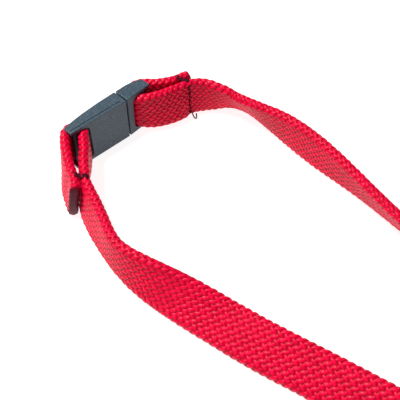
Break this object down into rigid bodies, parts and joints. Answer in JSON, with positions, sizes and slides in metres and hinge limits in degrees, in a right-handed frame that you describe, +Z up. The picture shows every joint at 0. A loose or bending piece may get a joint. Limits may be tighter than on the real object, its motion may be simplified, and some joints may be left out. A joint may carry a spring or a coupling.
{
  "type": "neck lanyard",
  "caption": "Flat braided neck strap with a breakaway buckle at the back and a swivel snap hook at the front.",
  "frame": {"origin": "on the buckle's lower narrow side, where it rests on the table, 6 mm from the seam between the two buckle halves", "axes": "+X along the buckle from the socket half to the plug half, -Y from the buckle to the snap hook, +Z up"},
  "size_m": [0.0695, 0.4454, 0.0145],
  "materials": {
    "strap": "red tubular braid, matte with a soft sheen",
    "thread": "dark maroon sewing thread",
    "buckle_plastic": "dark blue-grey, fine spark-eroded grain",
    "hook_metal": "bright nickel plate",
    "spring_steel": "plain drawn wire"
  },
  "bodies": {
    "strap": {"buckle_socket_half": "buckle_plastic", "strap_end_left": "strap", "strap_near_arm": "strap", "strap_far_arm": "strap", "strap_fold": "strap", "stitch_left": "thread", "crimp": "hook_metal", "hook_eye": "hook_metal"},
    "plug_half": {"buckle_plug_half": "buckle_plastic", "strap_end_right": "strap", "stitch_right": "thread", "thread_tail": "thread"},
    "hook": {"hook_body": "hook_metal", "gate_pin": "spring_steel", "gate_spring": "spring_steel"},
    "gate": {"gate": "hook_metal"}
  },
  "joints": [
    {"name": "buckle_release", "type": "slide", "parent": "strap", "child": "plug_half", "axis": [1, 0, 0], "range_m": [0, 0.014], "deforming": ["strap_far_arm"]},
    {"name": "hook_swivel", "type": "hinge", "parent": "strap", "child": "hook", "pos_m": [0.011, -0.4029, 0.0038], "axis": [0, 1, 0], "continuous": true},
    {"name": "gate_open", "type": "hinge", "parent": "hook", "child": "gate", "pos_m": [0.0172, -0.4148, 0.0038], "axis": [0, 0, -1], "range_deg": [0, 18], "stiffness_Nm_per_rad": 0.02, "springref_deg": -17.19}
  ]
}
